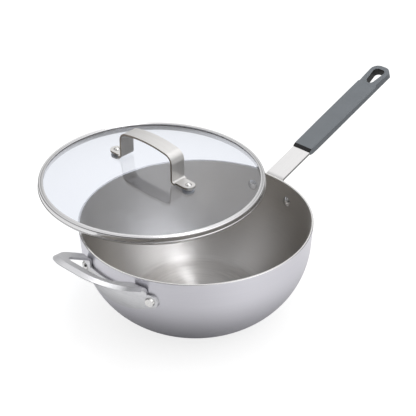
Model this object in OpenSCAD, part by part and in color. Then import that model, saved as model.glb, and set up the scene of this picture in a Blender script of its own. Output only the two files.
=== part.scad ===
// Saucier pan with a domed glass lid, laid on its rim a little to one side.
// Millimetres. Origin: centre of the pan's base. +X runs along the long handle, +Z is up.

/* [Pan] */
// Inside width at the rim
pan_inner_d = 240; // [220:1:270]
// Height from the base to the rim
pan_h = 100; // [90:1:125]
// Thickness of the clad steel wall
wall = 2.2; // [1.6:0.1:3.2]
// Width of the flat part of the base
base_flat_d = 130; // [100:1:150]
// Outside radius of the bend between the base and the bowl
base_blend_r = 25; // [12:1:34]
// Lean of the upper wall from upright, in degrees
wall_lean = 4; // [1:0.5:8]
// Height of the straight band below the rim
band_h = 25; // [12:1:35]

/* [Long handle] */
// Rise of the handle above level, in degrees
handle_rise = 18.3; // [8:0.5:28]
// Width of the steel strap
strap_w = 23.6; // [20:0.2:30]
// Thickness of the steel strap and of its bracket
strap_t = 2.6; // [2:0.1:4]
// Length of bare strap from the rim to the grip
strap_free = 50; // [35:1:80]
// Height of the strap's top below the rim, where it leaves the wall
strap_drop = 1.9; // [1:0.1:6]
// Inside radius of the bend between the strap and its bracket
strap_bend_r = 6; // [4:0.5:7]
// Distance between the two handle rivets, across the bracket
bracket_pitch = 51; // [46:1:60]
// Height of the handle bracket
bracket_h = 24; // [21:0.5:27]
// Depth of the handle rivets below the rim
bracket_drop = 21; // [20:0.5:24]
// Width of the tang inside the grip
tang_w = 15; // [10:0.5:17]

/* [Grip] */
// Length of the grip's main block
grip_len = 123; // [90:1:140]
// Width of the grip where the strap enters
grip_w_near = 24; // [22:0.2:27]
// Width of the grip at its far shoulders
grip_w_far = 26.6; // [25:0.2:30]
// Height of the grip's top above the strap
grip_top = 2.1; // [1.6:0.1:4]
// Depth of the grip's underside below the strap's top
grip_under = 7.9; // [7.7:0.1:10]
// Height of the grip's upright sides
grip_side = 5.2; // [4:0.2:7]
// Inward lean of the grip's lower sides
grip_bevel = 3.4; // [2:0.2:4]
// Length of the slope at the grip's near end
grip_slope = 3.8; // [2:0.2:8]
// Length of the hanging loop beyond the main block
loop_len = 31.3; // [28:0.1:42]
// Width of the hanging loop at its round end
loop_w = 25; // [22:0.5:26]
// Width of the hanging loop at its neck
neck_w = 22.4; // [18:0.2:24]
// Thickness of the hanging loop
loop_t = 9.4; // [6:0.2:9.6]
// Width of the hanging slot at its wide end
slot_w = 14.6; // [12:0.2:16]
// Width of the hanging slot at its narrow end
slot_w_near = 10; // [8:0.5:11]

/* [Helper handle] */
// Upward tilt of the helper loop, in degrees
helper_rise = 28.8; // [15:0.5:38]
// Thickness of the helper handle's sheet
helper_t = 2.5; // [2:0.1:3]
// Reach of the loop from the wall to its crease, along its slope
helper_reach = 49; // [42:1:60]
// Width of the loop across its creases
helper_w = 90; // [86:1:96]
// Corner radius of the loop
helper_corner = 34; // [24:1:38]
// Height of the loop above the base, where it meets the wall
helper_z = 96; // [92:0.5:104]
// Width of the finger hole
helper_hole_w = 61; // [50:1:64]
// Reach of the finger hole from the wall
helper_hole_reach = 36; // [30:1:40]
// Corner radius of the finger hole
helper_hole_corner = 13; // [6:1:16]
// Width of the sloping lip outside the crease
lip_w = 5.5; // [3:0.5:7]
// Drop of the sloping lip
lip_drop = 4; // [3:0.5:6]
// Distance between the helper rivets
helper_pitch = 92; // [84:1:100]
// Depth of the helper rivets below the rim
helper_drop = 24.5; // [22:0.5:28]
// Radius of the round tabs that carry the helper rivets
tab_r = 8.5; // [7.5:0.5:10]
// Depth of the plate's belly below its tabs
belly = 10; // [2:1:14]

/* [Lid] */
// Place of the lid's axis along the handle, from the pan's axis
lid_x = 16.5; // [-20:0.5:30]
// Place of the lid's axis across the handle
lid_y = 82; // [60:0.5:90]
// Tilt of the laid lid, its far side raised, in degrees
lid_tilt = 1; // [0:0.1:2]
// Gap between the rim and the lid resting on it
lid_gap = 0.3; // [0.2:0.1:0.5]
// Clearance of the lid's skirt inside the rim, when the lid is closed
skirt_clear = 0.7; // [0.4:0.1:2]
// Height of the skirt below the ring's ledge
skirt_h = 4; // [2:0.5:6]
// Height of the ring above its ledge
ring_h = 7; // [6.8:0.2:10]
// Thickness of the ring's sheet
ring_t = 0.9; // [0.6:0.1:1.2]
// Overhang of the bead beyond the pan's rim
bead_out = 1.2; // [0.6:0.1:3]
// Width of the ring's top lip over the glass
ring_lip = 5.5; // [4:0.5:9]
// Thickness of the glass
glass_t = 4; // [3:0.1:4.4]
// Height of the glass dome from its edge to its crown
dome_h = 11.5; // [10:0.5:24]

/* [Lid handle] */
// Distance between the lid handle's two rivets
lid_pitch = 110; // [100:1:130]
// Width of the arch across its legs
arch_w = 80; // [66:1:86]
// Height of the arch above its feet
arch_h = 36.5; // [28:0.5:48]
// Rise of the arch's crown between its corners
crown = 2.6; // [1:0.2:5]
// Width of the lid handle's strap
lid_strap_w = 18.5; // [15:0.5:24]
// Thickness of the lid handle's strap
lid_strap_t = 2.2; // [1.6:0.1:3]
// Corner radius of the arch, to the middle of the strap
arch_corner = 10; // [6:0.5:12]
// Bend radius of the feet, to the middle of the strap
foot_bend = 3.4; // [2.4:0.2:5]
// Width of the round-ended feet
foot_w = 14.6; // [12:0.2:15]
// Height of the spacers between the feet and the glass
spacer_h = 1.8; // [1:0.2:4]
// Width of the spacers
spacer_d = 11.6; // [8:0.2:12]

/* [Rivets] */
// Shank width of the pan's rivets
rivet_d = 6; // [4:0.5:7]
// Head width of the pan's rivets
rivet_head_d = 11.6; // [9:0.2:13]
// Head height of the pan's rivets
rivet_head_h = 2.4; // [1.5:0.1:3]
// Shank width of the lid's rivets
lid_rivet_d = 4; // [3:0.5:5]
// Head width of the lid's rivets
lid_rivet_head_d = 7.4; // [6.5:0.2:9]
// Head height of the lid's rivets
lid_rivet_head_h = 1.8; // [1.2:0.1:3]
// Outside width of the sleeves in the glass holes
sleeve_d = 7; // [6.2:0.2:8]
// Width of the washers under the glass
washer_d = 13; // [11:0.5:16]
// Thickness of the steel washers under the glass
washer_t = 1.2; // [0.8:0.1:2]
// Thickness of the soft washers under the glass
soft_washer_t = 1.6; // [1:0.1:2.5]

/* [Hidden] */
// Gap between pieces that are pressed or riveted together
seat = 0.08;
// Gap between a shank and the hole it fills
hole_gap = 0.05;
// Length that a cutting shape runs past what it cuts
over = 1;
$fn = 96;
// Facets of the large rings and bowls
round_fn = 180;
arc_steps = 20;
steel = [0.78, 0.78, 0.8];
bright_steel = [0.85, 0.85, 0.86];
grip_grey = [0.46, 0.48, 0.5];
glass_tint = [0.85, 0.9, 0.95, 0.35];
seal_grey = [0.35, 0.33, 0.3];

// Points of an arc about a centre, from one angle to another
function arc(centre, r, from, to, steps = arc_steps) = [
    for (i = [0:steps])
        let (a = from + (to - from) * i / steps)
        centre + r * [cos(a), sin(a)]];

// Wall profile: flat base, blend, bowl and straight band, each tangent to the next
rim_r = pan_inner_d / 2 + wall / cos(wall_lean);
band_start = [rim_r - band_h * tan(wall_lean), pan_h - band_h];
blend_centre = [base_flat_d / 2, base_blend_r];
band_normal = [cos(wall_lean), -sin(wall_lean)];
chord = band_start - blend_centre;
bowl_r = (chord * chord - pow(base_blend_r, 2)) / (2 * (chord * band_normal - base_blend_r));
bowl_centre = band_start - bowl_r * band_normal;
blend_angle = atan2(blend_centre[1] - bowl_centre[1], blend_centre[0] - bowl_centre[0]);
function rim_point(offset) = [rim_r + offset / cos(wall_lean), pan_h];
function wall_line(offset) = concat(
    [[0, -offset]],
    arc(blend_centre, base_blend_r + offset, -90, blend_angle, 8),
    arc(bowl_centre, bowl_r + offset, blend_angle, -wall_lean),
    [rim_point(offset)]);
function reversed(list) = [for (i = [len(list) - 1:-1:0]) list[i]];
// Radius of the straight band's outside at a height
function band_r(z) = rim_r - (pan_h - z) * tan(wall_lean);
// Radius of the wall's outside at a height, in the band or in the bowl
function wall_r(z) =
    z > band_start[1] ? band_r(z) : bowl_centre[0] + sqrt(pow(bowl_r, 2) - pow(z - bowl_centre[1], 2));
// Outward lean of the wall at a height, in degrees
function lean_at(z) = z > band_start[1] ? wall_lean : asin((bowl_centre[1] - z) / bowl_r);

// Rivets of the pan: height, and angle round the pan's axis
bracket_z = pan_h - bracket_drop;
bracket_angle = asin(bracket_pitch / 2 / wall_r(bracket_z));
helper_z_rivet = pan_h - helper_drop;
helper_angle = asin(helper_pitch / 2 / wall_r(helper_z_rivet));

// Places a child with its Z axis square to the wall, starting on the wall's outside
module on_wall(z, angle)
    rotate([0, 0, angle])
    translate([wall_r(z), 0, z])
    rotate([0, 90 + lean_at(z), 0])
    children();

module rivet_holes(z, angle, centre_angle)
    for (side = [-1, 1])
        on_wall(z, centre_angle + side * angle)
        translate([0, 0, -wall - strap_t - over])
        cylinder(d = rivet_d + 2 * hole_gap, h = wall + 2 * strap_t + 4 * over);

// Band of a given thickness that follows the wall's outside
module wall_skin(from_offset, thickness)
    rotate_extrude($fn = round_fn)
    polygon(concat(wall_line(from_offset + thickness), reversed(wall_line(from_offset))));

// Angle that keeps the turned bowl's seam away from the handles
seam_turn = 45;
module pan_body()
    color(steel)
    difference() {
        rotate([0, 0, seam_turn])
            rotate_extrude($fn = round_fn)
                polygon(concat(wall_line(0), reversed(wall_line(-wall))));
        rivet_holes(bracket_z, bracket_angle, 0);
        rivet_holes(helper_z_rivet, helper_angle, 180);
    }

// Rivet with a flat head outside and a low domed head inside the pan
module pan_rivet(grip_t) {
    head_draft = 1;
    head_h = 0.8 * rivet_head_h;
    dome_r = (pow(rivet_head_d / 2, 2) + pow(rivet_head_h, 2)) / (2 * rivet_head_h);
    // The flat of the inner head stays clear of the hollow wall at its edge
    inner_seat = seat + pow(rivet_head_d / 2, 2) / 2 / (bowl_r - wall);
    translate([0, 0, -wall - inner_seat - over / 2])
        cylinder(d = rivet_d, h = wall + inner_seat + grip_t + 2 * seat + over);
    translate([0, 0, grip_t + 2 * seat])
        cylinder(d1 = rivet_head_d - head_draft, d2 = rivet_head_d - 3 * head_draft, h = head_h);
    translate([0, 0, -wall - inner_seat])
        intersection() {
            translate([0, 0, dome_r - rivet_head_h])
                sphere(r = dome_r);
            translate([0, 0, -rivet_head_h - over])
                cylinder(d = rivet_head_d, h = rivet_head_h + over);
        }
}

module pan_rivet_pair(z, angle, centre_angle, grip_t)
    for (side = [-1, 1])
        on_wall(z, centre_angle + side * angle)
        pan_rivet(grip_t);

module handle_rivets()
    color(bright_steel) pan_rivet_pair(bracket_z, bracket_angle, 0, strap_t);

module helper_rivets()
    color(bright_steel) pan_rivet_pair(helper_z_rivet, helper_angle, 180, helper_t);

// Long handle: a frame on the strap's top, where its line meets the wall
root_z = pan_h - strap_drop;
root_x = band_r(root_z) + seat;
module handle_frame()
    translate([root_x, 0, root_z])
    rotate([0, -handle_rise, 0])
    children();

// Bend of the strap, from the handle's slope down to the wall's lean
bend_turn = 90 - handle_rise - wall_lean;
bend_reach = (strap_bend_r + strap_t) * tan(bend_turn / 2);
// Solid grip beyond the tang's end
tang_cover = 8;
tang_len = grip_len - tang_cover;
// The wide strap stops this far before the grip
strap_stop = 0.3;

// Side of the strap in the handle's frame: a short tail on the wall, the bend, then the straight run
module strap_side() {
    centre = [bend_reach, -strap_t - strap_bend_r];
    tail = 2.5;
    last = 90 + bend_turn;
    down = tail * [-sin(last), cos(last)];
    out = centre + (strap_bend_r + strap_t) * [cos(last), sin(last)];
    in = centre + strap_bend_r * [cos(last), sin(last)];
    polygon(concat(
        [[strap_free - strap_stop, -strap_t], [strap_free - strap_stop, 0]],
        arc(centre, strap_bend_r + strap_t, 90, last),
        [out + down, in + down],
        reversed(arc(centre, strap_bend_r, 90, last))));
}

module bracket_outline() {
    square([bracket_pitch, bracket_h], center = true);
    for (side = [-1, 1])
        translate([side * bracket_pitch / 2, 0])
            circle(d = bracket_h);
}

module handle_strap()
    color(steel)
    difference() {
        union() {
            handle_frame() {
                rotate([90, 0, 0])
                    linear_extrude(strap_w, center = true) strap_side();
                translate([bend_reach, -tang_w / 2, -strap_t])
                    cube([strap_free - bend_reach + tang_len, tang_w, strap_t]);
            }
            intersection() {
                wall_skin(seat, strap_t);
                translate([0, 0, bracket_z])
                    rotate([90, 0, 90])
                    linear_extrude(rim_r + 4 * strap_t) bracket_outline();
            }
        }
        rivet_holes(bracket_z, bracket_angle, 0);
    }

// Grip: plan outlines in the handle's frame, measured from the grip's near end
module grip_plan() {
    shoulder = 2;
    polygon([
        [0, -grip_w_near / 2], [grip_len - shoulder, -grip_w_far / 2], [grip_len, -grip_w_far / 2 + shoulder],
        [grip_len, grip_w_far / 2 - shoulder], [grip_len - shoulder, grip_w_far / 2], [0, grip_w_near / 2]]);
}

// Outline that widens towards an end with two round corners
module wide_end(start, start_w, end, end_w, corner) {
    polygon([
        [start, -start_w / 2], [end - corner, -end_w / 2], [end - corner, end_w / 2], [start, start_w / 2]]);
    for (side = [-1, 1])
        translate([end - corner, side * (end_w / 2 - corner)])
            circle(r = corner);
    translate([end - 2 * corner, corner - end_w / 2])
        square([2 * corner, end_w - 2 * corner]);
}

neck_overlap = 6;
loop_end = grip_len + loop_len;
loop_corner = 9.5;
module loop_plan()
    wide_end(grip_len - neck_overlap, neck_w, loop_end, loop_w, loop_corner);

// Slot: a round near end close to the main block, and a wide end with round corners
slot_bridge = 0.8;
slot_start = grip_len + slot_w_near / 2 + slot_bridge;
slot_corner = 5;
module slot_plan() {
    translate([slot_start, 0]) circle(d = slot_w_near);
    wide_end(slot_start, slot_w_near, loop_end - (loop_w - slot_w) / 2, slot_w, slot_corner);
}

// Side view of the grip: a slope down to the strap at its near end, and a tapered underside
grip_lip = 0.6;
grip_taper = 14;
module grip_side_view() {
    near_under = strap_t + 1;
    rise = (grip_top - grip_lip) / grip_slope;
    drop = (grip_under - near_under) / grip_taper;
    end = loop_end + over;
    polygon([
        [-over, grip_lip - over * rise], [grip_slope + over / rise, grip_top + over], [end, grip_top + over],
        [end, -grip_under - over], [grip_taper + over / drop, -grip_under - over],
        [-over, over * drop - near_under]]);
}

// Cross-section of the grip: flat top with small bevels, upright sides and a narrower underside
module grip_section() {
    edge = 0.8;
    half = grip_w_far / 2;
    polygon([
        [-half + edge, grip_top], [-half, grip_top - edge], [-half, grip_top - grip_side],
        [-half + grip_bevel, -grip_under], [half - grip_bevel, -grip_under],
        [half, grip_top - grip_side], [half, grip_top - edge], [half - edge, grip_top]]);
}

// Sleeve with a hanging loop, round the strap's tang
module handle_grip()
    color(grip_grey)
    handle_frame()
    translate([strap_free, 0, 0])
    difference() {
        intersection() {
            union() {
                translate([0, 0, -grip_under])
                    linear_extrude(grip_under + grip_top) grip_plan();
                translate([0, 0, grip_top - loop_t])
                    linear_extrude(loop_t) loop_plan();
            }
            rotate([90, 0, 90])
                linear_extrude(loop_end + over) grip_section();
            rotate([90, 0, 0])
                linear_extrude(2 * grip_w_far, center = true) grip_side_view();
        }
        translate([0, 0, grip_top - loop_t - over])
            linear_extrude(loop_t + 2 * over) slot_plan();
        translate([-over, -tang_w / 2 - seat, -strap_t - seat])
            cube([tang_len + over + strap_stop, tang_w + 2 * seat, strap_t + 2 * seat]);
    }

// Helper handle: a frame on the loop's top plane, with +X pointing away from the pan
helper_root = band_r(pan_h);
module helper_frame()
    translate([-helper_root, 0, helper_z])
    rotate([0, helper_rise, 0])
    rotate([0, 0, 180])
    children();

// Plan of the loop: straight sides that end in large corners
module round_front(reach, w, corner, back)
    intersection() {
        translate([-back, -w / 2])
            square([back + reach, w]);
        union() {
            translate([-back, -w / 2])
                square([back + reach - corner, w]);
            translate([-back, -w / 2 + corner])
                square([back + reach, w - 2 * corner]);
            for (side = [-1, 1])
                translate([reach - corner, side * (w / 2 - corner)])
                    circle(r = corner);
        }
    }

// Loop: a flat top inside the crease and a sloping lip outside it, hollow underneath
slice = 0.5;
lip_side = 2;
hollow_edge = 0.4;
lip_edge = 1.5;
module crease_slice(inset, top, back)
    translate([0, 0, top - slice])
    linear_extrude(slice)
    round_front(helper_reach - inset, helper_w - 2 * inset, helper_corner, back);

module lip_slice(inset, top, back)
    translate([0, 0, top])
    linear_extrude(slice)
    round_front(
        helper_reach + lip_w - inset, helper_w + 2 * lip_side - 2 * inset, helper_corner + lip_side, back);

module loop_sheet()
    helper_frame()
    difference() {
        hull() {
            crease_slice(0, 0, 0);
            lip_slice(0, -lip_drop, 0);
        }
        hull() {
            crease_slice(hollow_edge, -helper_t, over);
            lip_slice(lip_edge, -lip_drop - helper_t, over);
        }
        translate([0, 0, -lip_drop - over])
            linear_extrude(lip_drop + 2 * over)
            round_front(helper_hole_reach, helper_hole_w, helper_hole_corner, over);
    }

// Legs: each rises from the plate, leaves the wall in one bend and runs into the loop
leg_inset = 0.3;
leg_w = (helper_w - helper_hole_w) / 2 - 2 * leg_inset;
leg_mid = (helper_w + helper_hole_w) / 4;
leg_clear = 0.5;
leg_overlap = 2;
plate_top_z = helper_z_rivet + tab_r;
leg_wall_z = plate_top_z + over;
leg_r = wall_r(leg_wall_z) + leg_clear;
leg_angle = asin(leg_mid / leg_r);
leg_steps = 7;
// Reach of the bend's control points along the wall and along the loop
bend_up = 6.5;
bend_back = 4.5;
bend_less = 0.34 * helper_t;

// Corners of a leg: face 0 is towards the wall and on top, face 1 is outside and underneath
function leg_on_wall(face, edge, z) =
    let (a = 180 - leg_angle, x = leg_r + face * helper_t, y = edge * leg_w / 2)
    [x * cos(a) - y * sin(a), x * sin(a) + y * cos(a), z];
function leg_on_loop(face, edge, x) =
    let (y = leg_mid - edge * leg_w / 2, z = -over / 10 - face * helper_t)
    [-helper_root - x * cos(helper_rise) + z * sin(helper_rise), y,
        helper_z + x * sin(helper_rise) + z * cos(helper_rise)];
function bend_point(a, b, c, d, t) =
    pow(1 - t, 3) * a + 3 * pow(1 - t, 2) * t * b + 3 * (1 - t) * pow(t, 2) * c + pow(t, 3) * d;
function leg_point(face, edge, t) = bend_point(
    leg_on_wall(face, edge, leg_wall_z),
    leg_on_wall(face, edge, leg_wall_z + bend_up - face * bend_less),
    leg_on_loop(face, edge, face * bend_less - bend_back),
    leg_on_loop(face, edge, 0),
    t);
CORNERS = [[0, -1], [0, 1], [1, 1], [1, -1]];

module helper_leg() {
    last = leg_steps + 2;
    polyhedron(
        concat(
            [for (c = CORNERS) leg_on_wall(c[0], c[1], plate_top_z - leg_overlap)],
            [for (i = [0:leg_steps], c = CORNERS) leg_point(c[0], c[1], i / leg_steps)],
            [for (c = CORNERS) leg_on_loop(c[0], c[1], over)]),
        concat(
            [[2, 1, 0], [3, 2, 0]],
            [for (i = [0:last - 1], k = [0:3]) [4 * i + (k + 1) % 4, 4 * i + 4 + k, 4 * i + k]],
            [for (i = [0:last - 1], k = [0:3]) [4 * i + 4 + (k + 1) % 4, 4 * i + 4 + k, 4 * i + (k + 1) % 4]],
            [[4 * last, 4 * last + 1, 4 * last + 2], [4 * last, 4 * last + 2, 4 * last + 3]]));
}

// Plate on the wall: round tabs at its ends and a belly between them
module helper_plate_outline() {
    half = helper_pitch / 2;
    belly_r = (pow(half, 2) + pow(belly, 2)) / (2 * belly);
    square([helper_pitch, 2 * tab_r], center = true);
    for (side = [-1, 1])
        translate([side * half, 0])
            circle(r = tab_r);
    intersection() {
        translate([0, belly_r - belly - tab_r])
            circle(r = belly_r, $fn = round_fn);
        translate([0, -tab_r - belly / 2])
            square([helper_pitch, belly + 2 * over], center = true);
    }
}

module helper_handle()
    color(steel)
    difference() {
        union() {
            intersection() {
                wall_skin(seat, helper_t);
                translate([0, 0, helper_z_rivet])
                    rotate([90, 0, -90])
                    linear_extrude(rim_r + 4 * helper_t) helper_plate_outline();
            }
            helper_leg();
            mirror([0, 1, 0]) helper_leg();
            loop_sheet();
        }
        rivet_holes(helper_z_rivet, helper_angle, 180);
    }

// Lid: heights above the base with the lid resting on the rim
skirt_low = pan_h + lid_gap;
ledge_z = skirt_low + skirt_h;
ring_top = ledge_z + ring_h;
skirt_r = pan_inner_d / 2 - skirt_clear;
bead_r = rim_r + bead_out;
// Small bevels of the ring, and the depth of the groove above its bead
ring_edge = 0.6;
ring_wall_r = bead_r - ring_edge;
// Seal beside the glass edge, and above it
seal_side = 1.4;
glass_r = ring_wall_r - ring_t - seal_side;
seal_t = 0.5;
glass_edge_top = ring_top - ring_t - seal_t;
dome_r = (pow(glass_r, 2) + pow(dome_h, 2)) / (2 * dome_h);
dome_z = glass_edge_top + dome_h - dome_r;
function glass_top_z(r) = dome_z + sqrt(pow(dome_r, 2) - pow(r, 2));
function glass_low_z(r) = dome_z + sqrt(pow(dome_r - glass_t, 2) - pow(r, 2));
foot_r = lid_pitch / 2;

// Rise of the tilted lid, so that its low side clears the rim where the two circles cross
lid_reach = sqrt(pow(lid_x, 2) + pow(lid_y, 2));
cross_half = sqrt(pow(skirt_r, 2) - pow(lid_reach / 2, 2));
lid_rise = (lid_y / 2 + cross_half * abs(lid_x) / lid_reach) * sin(lid_tilt);

module lid_frame()
    translate([lid_x, lid_y, skirt_low + lid_rise])
    rotate([lid_tilt, 0, 0])
    translate([0, 0, -skirt_low])
    children();

module at_feet()
    for (side = [-1, 1])
        translate([0, side * foot_r, 0])
        children();

module lid_glass()
    color(glass_tint)
    lid_frame()
    difference() {
        intersection() {
            translate([0, 0, dome_z]) sphere(r = dome_r, $fn = round_fn);
            translate([0, 0, ledge_z]) cylinder(r = glass_r, h = ring_top + dome_h, $fn = round_fn);
        }
        translate([0, 0, dome_z]) sphere(r = dome_r - glass_t, $fn = round_fn);
        at_feet()
            translate([0, 0, ledge_z])
            cylinder(d = sleeve_d + 2 * hole_gap, h = ring_top + dome_h);
    }

// Ring: skirt inside the rim, ledge with a bead, outer wall and a lip over the glass
module lid_ring()
    color(steel)
    lid_frame()
    rotate_extrude($fn = round_fn) {
        lip_r = ring_wall_r - ring_lip;
        lip_top = ring_top + (glass_top_z(lip_r) - glass_top_z(glass_r)) / 2;
        polygon([
            [skirt_r - ring_t, skirt_low + ring_edge], [skirt_r - ring_edge, skirt_low],
            [skirt_r, skirt_low + ring_edge], [skirt_r, ledge_z], [bead_r - ring_edge, ledge_z],
            [bead_r, ledge_z + ring_edge], [bead_r, ledge_z + ring_edge + ring_t],
            [ring_wall_r, ledge_z + 2 * ring_edge + ring_t], [ring_wall_r, ring_top - ring_edge],
            [ring_wall_r - ring_edge, ring_top], [lip_r, lip_top], [lip_r, lip_top - ring_t],
            [ring_wall_r - ring_t, ring_top - ring_t], [ring_wall_r - ring_t, ledge_z + ring_t],
            [skirt_r - ring_t, ledge_z + ring_t]]);
    }

// Seal between the glass edge and the ring
module lid_seal()
    color(seal_grey)
    lid_frame()
    rotate_extrude($fn = 2 * round_fn) {
        out_r = ring_wall_r - ring_t - seat;
        in_r = skirt_r - ring_t;
        low = ledge_z + ring_t + seat;
        polygon([
            [in_r, low], [out_r, low], [out_r, ring_top - ring_t - seat],
            [glass_r + seat, ring_top - ring_t - seat], [glass_r + seat, glass_low_z(glass_r) - seat],
            [in_r, glass_low_z(in_r) - 2 * seat]]);
    }

// Lid handle: middle line of the strap in Y and Z, from the crown down to one foot
foot_slope = asin(foot_r / dome_r);
foot_under = glass_top_z(foot_r) + spacer_h;
foot_mid = foot_under + lid_strap_t / 2;
leg_y = arch_w / 2 - lid_strap_t / 2;
arch_mid = foot_mid + arch_h - lid_strap_t;
crown_half = leg_y - arch_corner;
crown_r = (pow(crown_half, 2) + pow(crown, 2)) / (2 * crown);
crown_angle = asin(crown_half / crown_r);
crown_centre = [0, arch_mid - crown_r];
corner_reach = crown_r - arch_corner;
corner_angle = asin(crown_half / corner_reach);
corner_centre = crown_centre + corner_reach * [sin(corner_angle), cos(corner_angle)];
foot_end = foot_r + foot_w / 2;
function mirrored(list) = [for (i = [len(list) - 1:-1:0]) [-list[i][0], list[i][1]]];

// Edge of the strap on one side of its middle line, from the crown to the foot's end
function arch_edge(offset) = concat(
    arc(crown_centre, crown_r + offset, 90, 90 - corner_angle, 12),
    arc(corner_centre, arch_corner + offset, 90 - corner_angle, 0, 12),
    arc([leg_y + foot_bend, foot_mid + foot_bend], foot_bend - offset, 180, 270, 8),
    [[foot_end, foot_mid + offset]]);

module arch_section() {
    upper = arch_edge(lid_strap_t / 2);
    lower = arch_edge(-lid_strap_t / 2);
    polygon(concat(mirrored(upper), upper, reversed(lower), reversed(mirrored(lower))));
}

module lid_handle()
    color(bright_steel)
    lid_frame()
    difference() {
        intersection() {
            translate([-lid_strap_w / 2, 0, 0])
                rotate([90, 0, 90])
                linear_extrude(lid_strap_w) arch_section();
            translate([0, 0, foot_under - over])
                linear_extrude(arch_h + 4 * over) {
                    square([lid_strap_w, arch_w + 2 * foot_bend], center = true);
                    square([foot_w, lid_pitch], center = true);
                    for (side = [-1, 1])
                        translate([0, side * foot_r])
                            circle(d = foot_w);
                }
        }
        at_feet()
            translate([0, 0, foot_under - over])
            cylinder(d = lid_rivet_d + 2 * hole_gap, h = lid_strap_t + 2 * over);
    }

// Height under the glass on a foot's axis, at the lowest point that a washer touches
under_glass = glass_low_z(foot_r + washer_d / 2) - seat;
soft_low = under_glass - soft_washer_t;
washer_low = soft_low - seat - washer_t;

module lid_rivets()
    color(bright_steel)
    lid_frame()
    at_feet() {
        head_z = foot_under + lid_strap_t + seat;
        head_r = lid_rivet_head_d / 2;
        button_r = (pow(head_r, 2) + pow(lid_rivet_head_h, 2)) / (2 * lid_rivet_head_h);
        translate([0, 0, washer_low - seat - over / 2])
            cylinder(d = lid_rivet_d, h = head_z - washer_low + seat + over);
        translate([0, 0, head_z])
            intersection() {
                translate([0, 0, lid_rivet_head_h - button_r]) sphere(r = button_r);
                cylinder(r = head_r, h = lid_rivet_head_h + over);
            }
        translate([0, 0, washer_low - seat - lid_rivet_head_h])
            cylinder(r = head_r, h = lid_rivet_head_h);
    }

// Washer ring about a foot's axis, between two heights
module foot_washer(d, low, high)
    translate([0, 0, low])
    difference() {
        cylinder(d = d, h = high - low);
        translate([0, 0, -over])
            cylinder(d = lid_rivet_d + 2 * hole_gap, h = high - low + 2 * over);
    }

// Spacers, cut underneath to the glass's slope
module lid_spacers()
    color(bright_steel)
    lid_frame()
    for (side = [-1, 1])
        translate([0, side * foot_r, 0])
        difference() {
            foot_washer(spacer_d, foot_under - 2 * spacer_h, foot_under - seat);
            translate([0, 0, glass_top_z(foot_r) + seat])
                rotate([-side * foot_slope, 0, 0])
                translate([-foot_w, -foot_w, -4 * spacer_h])
                cube([2 * foot_w, 2 * foot_w, 4 * spacer_h]);
        }

module lid_sleeves()
    color(seal_grey)
    lid_frame()
    at_feet()
    translate([0, 0, under_glass])
    difference() {
        cylinder(d = sleeve_d, h = glass_top_z(foot_r + sleeve_d / 2) - under_glass - seat);
        translate([0, 0, -over])
            cylinder(d = lid_rivet_d + 2 * hole_gap, h = 2 * glass_t + 2 * over);
    }

module lid_soft_washers()
    color(seal_grey)
    lid_frame()
    at_feet()
    foot_washer(washer_d, soft_low, under_glass - seat);

module lid_washers()
    color(bright_steel)
    lid_frame()
    at_feet()
    foot_washer(washer_d - 1, washer_low, soft_low - seat);

pan_body();
handle_strap();
handle_grip();
handle_rivets();
helper_handle();
helper_rivets();
lid_glass();
lid_ring();
lid_seal();
lid_handle();
lid_rivets();
lid_spacers();
lid_sleeves();
lid_soft_washers();
lid_washers();
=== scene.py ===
import math

import bpy
from mathutils import Matrix, Vector


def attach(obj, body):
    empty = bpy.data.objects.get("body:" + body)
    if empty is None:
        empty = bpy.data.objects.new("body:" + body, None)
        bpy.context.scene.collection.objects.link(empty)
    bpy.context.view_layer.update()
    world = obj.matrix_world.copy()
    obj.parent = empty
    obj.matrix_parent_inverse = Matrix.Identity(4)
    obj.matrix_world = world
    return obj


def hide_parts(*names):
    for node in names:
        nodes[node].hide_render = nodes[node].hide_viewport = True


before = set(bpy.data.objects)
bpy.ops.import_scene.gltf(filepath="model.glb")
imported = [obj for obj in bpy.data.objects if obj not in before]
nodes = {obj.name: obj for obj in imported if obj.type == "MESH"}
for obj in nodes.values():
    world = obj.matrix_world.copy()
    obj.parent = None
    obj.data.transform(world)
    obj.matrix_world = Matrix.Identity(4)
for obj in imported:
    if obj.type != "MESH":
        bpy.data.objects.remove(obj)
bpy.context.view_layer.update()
MM = 0.001


# Node and material helpers

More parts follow.
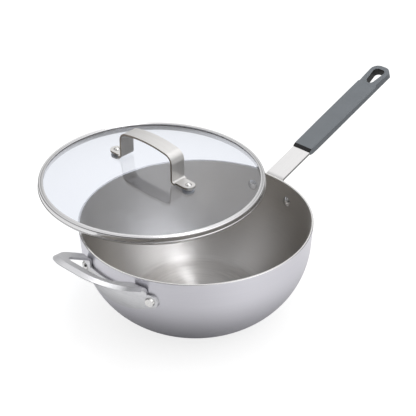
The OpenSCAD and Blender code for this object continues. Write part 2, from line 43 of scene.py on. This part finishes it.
class Graph:
    """A material's node tree, with short calls to add and link nodes."""

    def __init__(self, name):
        self.mat = bpy.data.materials.new(name)
        self.mat.use_nodes = True
        self.tree = self.mat.node_tree
        self.shader = self.tree.nodes["Principled BSDF"]
        self.output = self.tree.nodes["Material Output"]

    def node(self, kind, **settings):
        made = self.tree.nodes.new(kind)
        for key, value in settings.items():
            setattr(made, key, value)
        return made

    def link(self, source, target):
        self.tree.links.new(source, target)

    def put(self, target, value):
        if isinstance(value, bpy.types.NodeSocket):
            self.link(value, target)
        elif value is not None:
            target.default_value = value

    def math(self, operation, a, b=None, c=None, clamp=False):
        made = self.node("ShaderNodeMath", operation=operation, use_clamp=clamp)
        for socket, value in zip(made.inputs, (a, b, c)):
            self.put(socket, value)
        return made.outputs[0]

    def mix(self, factor, a, b):
        made = self.node("ShaderNodeMix", data_type="RGBA")
        self.put(made.inputs[0], factor)
        self.put(made.inputs[6], a)
        self.put(made.inputs[7], b)
        return made.outputs[2]

    def ramp(self, factor, stops):
        made = self.node("ShaderNodeValToRGB")
        elements = made.color_ramp.elements
        while len(elements) < len(stops):
            elements.new(0.5)
        for element, (place, colour) in zip(elements, stops):
            element.position = place
            element.color = (*colour, 1)
        self.put(made.inputs[0], factor)
        return made.outputs[0]

    def noise(self, vector, scale, detail=2.0, roughness=0.5):
        made = self.node("ShaderNodeTexNoise")
        self.put(made.inputs["Vector"], vector)
        made.inputs["Scale"].default_value = scale
        made.inputs["Detail"].default_value = detail
        made.inputs["Roughness"].default_value = roughness
        return made.outputs["Fac"]

    def place(self, offset=(0, 0, 0)):
        """Object coordinates in metres, moved so that offset is the origin, as x, y and z sockets."""
        coordinates = self.node("ShaderNodeTexCoord").outputs["Object"]
        moved = self.node("ShaderNodeVectorMath", operation="SUBTRACT")
        self.link(coordinates, moved.inputs[0])
        moved.inputs[1].default_value = offset
        parts = self.node("ShaderNodeSeparateXYZ")
        self.link(moved.outputs[0], parts.inputs[0])
        return parts.outputs[0], parts.outputs[1], parts.outputs[2]

    def vector(self, x, y, z):
        made = self.node("ShaderNodeCombineXYZ")
        for socket, value in zip(made.inputs, (x, y, z)):
            self.put(socket, value)
        return made.outputs[0]

    def bump(self, height, strength, distance):
        made = self.node("ShaderNodeBump")
        made.inputs["Strength"].default_value = strength
        made.inputs["Distance"].default_value = distance
        self.link(height, made.inputs["Height"])
        self.link(made.outputs[0], self.shader.inputs["Normal"])

    def set(self, **values):
        for key, value in values.items():
            self.put(self.shader.inputs[key.replace("_", " ")], value)


def rgb(r, g, b):
    """Colour of an sRGB triple, 0 to 255, as linear RGBA."""
    def linear(v):
        v /= 255
        return v / 12.92 if v <= 0.04045 else ((v + 0.055) / 1.055) ** 2.4
    return (linear(r), linear(g), linear(b), 1)


def span(g, value, low, high, to_low, to_high):
    made = g.node("ShaderNodeMapRange")
    for socket, v in zip(made.inputs, (value, low, high, to_low, to_high)):
        g.put(socket, v)
    return made.outputs[0]


def reach(g, x, y):
    """Distance from the upright axis."""
    return g.math("SQRT", g.math("ADD", g.math("MULTIPLY", x, x), g.math("MULTIPLY", y, y)))


ROUND_PITCH = 1.6
TINY = 1e-5


def round_lines(g, offset=(0, 0, 0), pitch=900):
    """Brush lines round an upright axis, pitch lines to the metre along the profile and few round it, and
    the height."""
    x, y, z = g.place(offset)
    r = reach(g, x, y)
    safe = g.math("ADD", r, TINY)
    along = g.math("ADD", r, z)
    v = g.vector(
        g.math("MULTIPLY", g.math("DIVIDE", x, safe), ROUND_PITCH),
        g.math("MULTIPLY", g.math("DIVIDE", y, safe), ROUND_PITCH),
        g.math("MULTIPLY", along, pitch))
    return g.noise(v, 1.0, 3.0, 0.6), z


def brushed_round(name, colour, dark, roughness, anisotropy, offset=(0, 0, 0), pitch=3500):
    g = Graph(name)
    lines, z = round_lines(g, offset, pitch)
    g.set(Metallic=1.0, Anisotropic=anisotropy, Anisotropic_Rotation=0.25)
    g.set(Base_Color=g.mix(lines, colour, dark))
    g.set(Roughness=span(g, lines, 0.3, 0.7, roughness - 0.03, roughness + 0.03))
    tangent = g.node("ShaderNodeTangent", direction_type="RADIAL", axis="Z")
    g.link(tangent.outputs[0], g.shader.inputs["Tangent"])
    g.bump(lines, 0.04, 0.00002)
    return g


RING_PITCH = 260
RING_SHARE = 0.25
BASE_TOP = (3 * MM, 8 * MM)


def turned_rings(g, colour):
    """Broad faint rings on the flat base, gone above BASE_TOP."""
    rings, z = round_lines(g, pitch=RING_PITCH)
    on_base = span(g, z, *BASE_TOP, 1, 0)
    share = g.math("MULTIPLY", span(g, rings, 0.45, 0.7, 0, RING_SHARE), on_base)
    base = g.shader.inputs["Base Color"].links[0].from_socket
    g.set(Base_Color=g.mix(share, base, colour))


def satin(name, colour, dark, roughness, stretch, tilt=0.0, relief=0.1):
    """Satin steel whose fine lines run along one axis, where stretch is small. tilt leans the axes about Y."""
    g = Graph(name)
    x, y, z = g.place()
    if tilt:
        s, c = math.sin(tilt), math.cos(tilt)
        x, z = (g.math("ADD", g.math("MULTIPLY", x, c), g.math("MULTIPLY", z, s)),
                g.math("SUBTRACT", g.math("MULTIPLY", z, c), g.math("MULTIPLY", x, s)))
    v = g.vector(*(g.math("MULTIPLY", p, k) for p, k in zip((x, y, z), stretch)))
    lines = g.noise(v, 1.0, 3.0, 0.6)
    g.set(Metallic=1.0)
    g.set(Base_Color=g.mix(lines, colour, dark))
    g.set(Roughness=span(g, lines, 0.3, 0.7, roughness - 0.05, roughness + 0.06))
    g.bump(lines, relief, 0.00005)
    return g


HANDLE_RISE = math.radians(18.3)
HELPER_RISE = math.radians(28.8)
HANDLE_ROOT = (122.15 * MM, 0, 98.1 * MM)


def handle_place(g):
    """Place in the long handle's frame, in metres: along it from its root, across it, and above its top plane."""
    x, y, z = g.place(HANDLE_ROOT)
    s, c = math.sin(HANDLE_RISE), math.cos(HANDLE_RISE)
    return (g.math("ADD", g.math("MULTIPLY", x, c), g.math("MULTIPLY", z, s)), y,
            g.math("SUBTRACT", g.math("MULTIPLY", z, c), g.math("MULTIPLY", x, s)))


def facing(g, direction):
    """How far a face looks along a direction, -1 to 1."""
    normal = g.node("ShaderNodeNewGeometry").outputs["Normal"]
    dot = g.node("ShaderNodeVectorMath", operation="DOT_PRODUCT")
    g.link(normal, dot.inputs[0])
    dot.inputs[1].default_value = direction
    return dot.outputs["Value"]


def paint_side_shade(g, direction, colour):
    """Paints shade on the side faces of a strap, which look along direction, in the given darker colour."""
    side = span(g, g.math("ABSOLUTE", facing(g, direction)), 0.7, 0.9, 0, 1)
    base = g.shader.inputs["Base Color"].links[0].from_socket
    g.set(Base_Color=g.mix(side, base, colour))


LID = (16.5 * MM, 82 * MM, 0.0)
LINES_ALONG_X = (25, 1100, 1100)
LINES_ALONG_Y = (900, 30, 900)
LINES_ALONG_ARCH = (1300, 20, 60)

outside_steel = brushed_round("outside_steel", rgb(216, 215, 221), rgb(208, 207, 214), 0.38, 0.9)
inside_steel = brushed_round("inside_steel", rgb(212, 208, 203), rgb(202, 198, 193), 0.38, 0.97)
turned_rings(inside_steel, rgb(140, 136, 131))
strap_steel = satin(
    "strap_steel", rgb(228, 227, 227), rgb(212, 211, 211), 0.32, LINES_ALONG_X, HANDLE_RISE)
# Painted shade: the long handle strap's side faces get a darker grey.
paint_side_shade(strap_steel, (0, 1, 0), rgb(120, 119, 118))
helper_steel = satin(
    "helper_steel", rgb(216, 216, 218), rgb(192, 192, 195), 0.42, LINES_ALONG_Y, -HELPER_RISE)
lid_strap_steel = satin(
    "lid_strap_steel", rgb(214, 213, 212), rgb(200, 198, 196), 0.4, LINES_ALONG_ARCH, relief=0.03)
# Painted shade: the lid strap's side faces get a darker brownish grey.
paint_side_shade(lid_strap_steel, (1, 0, 0), rgb(140, 131, 121))
ring_steel = brushed_round("ring_steel", rgb(212, 212, 213), rgb(196, 195, 196), 0.16, 0.3, LID)

polished = Graph("polished_steel")
px, py, pz = polished.place()
speckle = polished.noise(polished.vector(px, py, pz), 900.0, 3.0)
polished.set(
    Metallic=1.0, Base_Color=polished.mix(speckle, rgb(222, 221, 220), rgb(200, 199, 198)),
    Roughness=span(polished, speckle, 0.3, 0.7, 0.14, 0.22))

COLLAR_END = 56 * MM
SLOT = (178 * MM, 200 * MM)
SLOT_HALF = 7.6 * MM

grip = Graph("grip_silicone")
gx, gy, gz = grip.place()
grain = grip.noise(grip.vector(gx, gy, gz), 3200.0, 4.0, 0.6)
patch = grip.noise(grip.vector(gx, gy, gz), 60.0, 2.0)
along, across, above = handle_place(grip)
handle_front = (math.cos(HANDLE_RISE), 0, math.sin(HANDLE_RISE))
handle_up = (-math.sin(HANDLE_RISE), 0, math.cos(HANDLE_RISE))


def all_of(g, *masks):
    made = masks[0]
    for mask in masks[1:]:
        made = g.math("MULTIPLY", made, mask)
    return made


collar = all_of(
    grip, grip.math("LESS_THAN", along, COLLAR_END),
    grip.math("LESS_THAN", facing(grip, handle_front), -0.35))
# Painted shade: the walls inside the slot get the near-black colour.
painted_slot_shade = all_of(
    grip, grip.math("GREATER_THAN", along, SLOT[0]), grip.math("LESS_THAN", along, SLOT[1]),
    grip.math("LESS_THAN", grip.math("ABSOLUTE", across), SLOT_HALF),
    grip.math("LESS_THAN", grip.math("ABSOLUTE", facing(grip, handle_up)), 0.5))
grip_colour = grip.mix(patch, rgb(112, 117, 122), rgb(120, 125, 130))
# The near-black is the collar's own colour and painted shade on the slot walls.
grip.set(
    Base_Color=grip.mix(grip.math("MAXIMUM", collar, painted_slot_shade), grip_colour, rgb(28, 28, 29)),
    Roughness=span(grip, grain, 0.3, 0.7, 0.5, 0.64), Specular_IOR_Level=0.4)
grip.bump(grain, 0.15, 0.00008)

seal = Graph("seal_silicone")
sx, sy, sz = seal.place()
seal_grain = seal.noise(seal.vector(sx, sy, sz), 1500.0, 3.0)
seal.set(
    Base_Color=seal.mix(seal_grain, rgb(84, 70, 58), rgb(66, 56, 48)),
    Roughness=span(seal, seal_grain, 0.3, 0.7, 0.4, 0.55))

clear_seal = Graph("washer_silicone")
wx, wy, wz = clear_seal.place()
clear_seal.set(
    Base_Color=clear_seal.mix(clear_seal.noise(
        clear_seal.vector(wx, wy, wz), 1500.0, 3.0), rgb(196, 196, 196), rgb(184, 184, 185)), Roughness=0.5)

spacer_steel = Graph("spacer_steel")
vx, vy, vz = spacer_steel.place()
spacer_steel.set(
    Metallic=1.0, Roughness=0.45, Base_Color=spacer_steel.mix(spacer_steel.noise(
        spacer_steel.vector(vx, vy, vz), 900.0, 3.0), rgb(222, 221, 220), rgb(204, 203, 202)))

# Glass, which lets light through to the pan as plain tinted shadow

glass = Graph("lid_glass")
glass.set(Base_Color=rgb(228, 231, 238), Transmission_Weight=1.0, Roughness=0.0, IOR=1.6)
shadow_clear = glass.node("ShaderNodeBsdfTransparent")
shadow_clear.inputs[0].default_value = (0.93, 0.95, 0.97, 1)
choose = glass.node("ShaderNodeMixShader")
rays = glass.node("ShaderNodeLightPath")
glass.link(rays.outputs["Is Shadow Ray"], choose.inputs[0])
glass.link(glass.shader.outputs[0], choose.inputs[1])
glass.link(shadow_clear.outputs[0], choose.inputs[2])
glass.link(choose.outputs[0], glass.output.inputs[0])


def dress(node, graph):
    slots = nodes[node].data.materials
    slots.clear()
    slots.append(graph.mat)


for node, graph in (
        ("pan_body", outside_steel), ("handle_strap", strap_steel), ("handle_grip", grip),
        ("handle_rivets", polished), ("helper_handle", helper_steel), ("helper_rivets", polished),
        ("lid_glass", glass), ("lid_ring", ring_steel), ("lid_seal", seal),
        ("lid_handle", lid_strap_steel), ("lid_rivets", polished), ("lid_spacers", spacer_steel),
        ("lid_sleeves", clear_seal), ("lid_soft_washers", clear_seal), ("lid_washers", spacer_steel)):
    dress(node, graph)


# Meshes

def arc(cx, cy, r, start, end, steps):
    """Points of an arc, in degrees, both ends included."""
    return [(cx + r * math.cos(math.radians(start + (end - start) * i / steps)),
             cy + r * math.sin(math.radians(start + (end - start) * i / steps))) for i in range(steps + 1)]


def add_piece(name, verts, faces, graphs, body, replaced=(), groups=None, sharp=40.0):
    """A mesh piece in millimetres. groups gives each face's place in graphs."""
    mesh = bpy.data.meshes.new(name)
    mesh.from_pydata([tuple(c * MM for c in v) for v in verts], [], faces)
    for graph in graphs:
        mesh.materials.append(graph.mat)
    if groups:
        mesh.polygons.foreach_set("material_index", groups)
    mesh.polygons.foreach_set("use_smooth", [True] * len(mesh.polygons))
    mesh.set_sharp_from_angle(angle=math.radians(sharp))
    piece = bpy.data.objects.new(name, mesh)
    bpy.context.scene.collection.objects.link(piece)
    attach(piece, body)
    if replaced:
        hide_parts(*replaced)
    return piece


def lathe(profile, steps=256, closed=False):
    """Vertices and faces of a profile of (radius, height) turned about Z, and each face's place on the profile."""
    verts, rings, faces = [], [], []
    for r, z in profile:
        if r < 1e-6:
            rings.append([len(verts)])
            verts.append((0, 0, z))
            continue
        rings.append(list(range(len(verts), len(verts) + steps)))
        for i in range(steps):
            a = 2 * math.pi * i / steps
            verts.append((r * math.cos(a), r * math.sin(a), z))
    pairs = list(zip(rings, rings[1:])) + ([(rings[-1], rings[0])] if closed else [])
    bands = []
    for k, (a, b) in enumerate(pairs):
        for i in range(steps):
            j = (i + 1) % steps
            face = [a[i % len(a)], a[j % len(a)], b[j % len(b)], b[i % len(b)]]
            face = [v for n, v in enumerate(face) if v not in face[:n]]
            if len(face) > 2:
                faces.append(face)
                bands.append(k)
    return verts, faces, bands


# Vessel: the wall's profile, as in the solid

WALL = 2.2
LEAN = 4.0
TOP = 100
FLAT = 65
RIM = 120 + WALL / math.cos(math.radians(LEAN))
BOWL_R, BOWL_C = 92.24, (28.44, 81.43)
BLEND_R, BLEND_C = 25.0, (FLAT, 25.0)
BLEND_END = math.degrees(math.atan2(BLEND_C[1] - BOWL_C[1], BLEND_C[0] - BOWL_C[0]))


def wall_line(offset):
    """Points of the wall's outer line, moved out by offset, from the middle of the base to just under the rim."""
    lean = math.radians(LEAN)
    band = [(RIM + offset / math.cos(lean) - (TOP - z) * math.tan(lean), z) for z in (80, 85, 90, 95, 99.6)]
    return ([(0, -offset), (30, -offset), (55, -offset)]
            + arc(*BLEND_C, BLEND_R + offset, -90, BLEND_END, 16)
            + arc(*BOWL_C, BOWL_R + offset, BLEND_END, -LEAN, 36)[1:] + band)


outer, inner = wall_line(0), wall_line(-WALL)
rim_top = [(RIM - 0.4, TOP), (RIM - WALL + 0.4, TOP)]
verts, faces, bands = lathe(outer + rim_top + inner[::-1])
groups = [0 if k < len(outer) - 1 else 2 if k < len(outer) + 2 else 1 for k in bands]
add_piece("vessel", verts, faces, (outside_steel, inside_steel, polished), "pan",
          ["pan_body"], groups, 30)


# Lid ring: the solid's section, with a rounded top and a groove in the lip

LID_TILT = math.radians(1)
LID_LOW = 100.3
LID_RISE = 1.1


def on_lid(point):
    """A point of the level lid, in millimetres, moved to where the lid lies."""
    x, y, z = point
    z -= LID_LOW
    s, c = math.sin(LID_TILT), math.cos(LID_TILT)
    return (x + LID[0] / MM, y * c - z * s + LID[1] / MM, y * s + z * c + LID_LOW + LID_RISE)


ring_section = (
    [(118.4, 105.2), (118.4, 100.9), (118.7, 100.3), (119.3, 100.9), (119.3, 104.3), (122.8, 104.3)]
    + arc(122.8, 105.35, 0.6, -60, 60, 6) + [(122.8, 106.2)] + arc(121.3, 109.8, 1.5, 0, 90, 8)
    + [(120.8, 111.25), (120.3, 110.95), (119.8, 111.2), (118.2, 111.6)]
    + arc(117.9, 111.0, 0.6, 90, 250, 6) + [(121.9, 110.4), (121.9, 105.2)])
verts, faces, bands = lathe(ring_section, steps=320, closed=True)
add_piece("ring", [on_lid(v) for v in verts], faces, (ring_steel,), "lid",
          ["lid_ring"], sharp=35)


# Floor, light and camera

def plane(name, size, z):
    mesh = bpy.data.meshes.new(name)
    h = size / 2
    mesh.from_pydata([(-h, -h, z), (h, -h, z), (h, h, z), (-h, h, z)], [], [(0, 1, 2, 3)])
    piece = bpy.data.objects.new(name, mesh)
    bpy.context.scene.collection.objects.link(piece)
    return piece


# The floor's added white, seen by the camera and through glass, and as mirrored in metal at radii that double
# from 2 ** -4 to 2 m. The mirrored part is a painted reflection, with painted shade round the pan's base.

FLOOR_SEEN = 0.8
GLOW_DOUBLINGS = (-4, 1)
PAINTED_FLOOR_REFLECTION = (0.0, 0.1, 1.05, 0.6, 0.56, 0.45)

floor = plane("floor", 12.0, 0.0)
ground = Graph("floor_paper")
ground.set(Base_Color=(0.3, 0.3, 0.3, 1), Roughness=0.9, Specular_IOR_Level=0.0)
paths = ground.node("ShaderNodeLightPath")
through = paths.outputs["Is Transmission Ray"]
mirrored = ground.math("SUBTRACT", paths.outputs["Is Glossy Ray"], through, clamp=True)
fx, fy, fz = ground.place()
doublings = ground.math("LOGARITHM", ground.math("MAXIMUM", reach(ground, fx, fy), MM), 2.0)
stops = [(k / (len(PAINTED_FLOOR_REFLECTION) - 1), (level,) * 3) for k, level in enumerate(PAINTED_FLOOR_REFLECTION)]
# Painted reflection for metal only: none next to the pan's base as painted shade, brightest a quarter metre out.
pale = ground.ramp(span(ground, doublings, *GLOW_DOUBLINGS, 0, 1), stops)
direct = ground.math("MULTIPLY", ground.math("MAXIMUM", paths.outputs["Is Camera Ray"], through), FLOOR_SEEN)
glow = ground.node("ShaderNodeEmission")
ground.link(ground.math("ADD", ground.math("MULTIPLY", mirrored, pale), direct), glow.inputs["Strength"])
both = ground.node("ShaderNodeAddShader")
ground.link(ground.shader.outputs[0], both.inputs[0])
ground.link(glow.outputs[0], both.inputs[1])
ground.link(both.outputs[0], ground.output.inputs[0])
floor.data.materials.append(ground.mat)

# Soft boxes and pale walls of the studio, each a round glow in the sky: azimuth and height in degrees,
# sharpness and strength

SKY = (
    (9, 74, 300, 15.0),
    (318, 81, 150, 4.0),
    (252, 61, 60, 0.22),
    (45, 8, 7.4, 0.37),
    (270, 8, 7.4, 0.38),
    (45, 32, 7.4, 0.58),
    (135, 32, 7.4, 0.46),
    (270, 32, 7.4, 0.74),
    (315, 32, 7.4, 0.32),
    (0, 58, 7.4, 0.6),
    (60, 58, 7.4, 0.53),
    (120, 58, 7.4, 0.46),
    (300, 58, 7.4, 1.5))

world = bpy.data.worlds.new("studio")
bpy.context.scene.world = world
world.use_nodes = True
tree = world.node_tree


def sky_math(operation, a, b=0.0):
    made = tree.nodes.new("ShaderNodeMath")
    made.operation = operation
    for socket, value in zip(made.inputs, (a, b)):
        if isinstance(value, bpy.types.NodeSocket):
            tree.links.new(value, socket)
        else:
            socket.default_value = value
    return made.outputs[0]


direction = tree.nodes.new("ShaderNodeTexCoord").outputs["Generated"]
total = None
for turn, rise, sharpness, strength in SKY:
    dot = tree.nodes.new("ShaderNodeVectorMath")
    dot.operation = "DOT_PRODUCT"
    tree.links.new(direction, dot.inputs[0])
    turn, rise = math.radians(turn), math.radians(rise)
    dot.inputs[1].default_value = (
        math.cos(rise) * math.cos(turn), math.cos(rise) * math.sin(turn), math.sin(rise))
    lobe = sky_math("EXPONENT", sky_math("MULTIPLY", sky_math("SUBTRACT", dot.outputs["Value"], 1.0), sharpness))
    lobe = sky_math("MULTIPLY", lobe, strength)
    total = lobe if total is None else sky_math("ADD", total, lobe)
seen = tree.nodes.new("ShaderNodeLightPath").outputs["Is Camera Ray"]
tree.links.new(sky_math("MAXIMUM", sky_math("MULTIPLY", total, sky_math("SUBTRACT", 1.0, seen)), seen),
               tree.nodes["Background"].inputs["Strength"])
tree.nodes["Background"].inputs["Color"].default_value = (1, 1, 1, 1)

camera_data = bpy.data.cameras.new("camera")
camera_data.sensor_width = 36
camera_data.lens = 112.5
camera = bpy.data.objects.new("camera", camera_data)
bpy.context.scene.collection.objects.link(camera)
camera_place = Vector((-0.8188, -0.8084, 0.8119))
right = Vector((0.6904, -0.7233, -0.0095)).normalized()
forward = Vector((0.6147, 0.5936, -0.5194)).normalized()
up = right.cross(forward).normalized()
right = forward.cross(up)
axes = Matrix((right, up, -forward)).transposed().to_4x4()
camera.matrix_world = Matrix.Translation(camera_place) @ axes
scene = bpy.context.scene
scene.camera = camera
scene.view_settings.view_transform = "Standard"
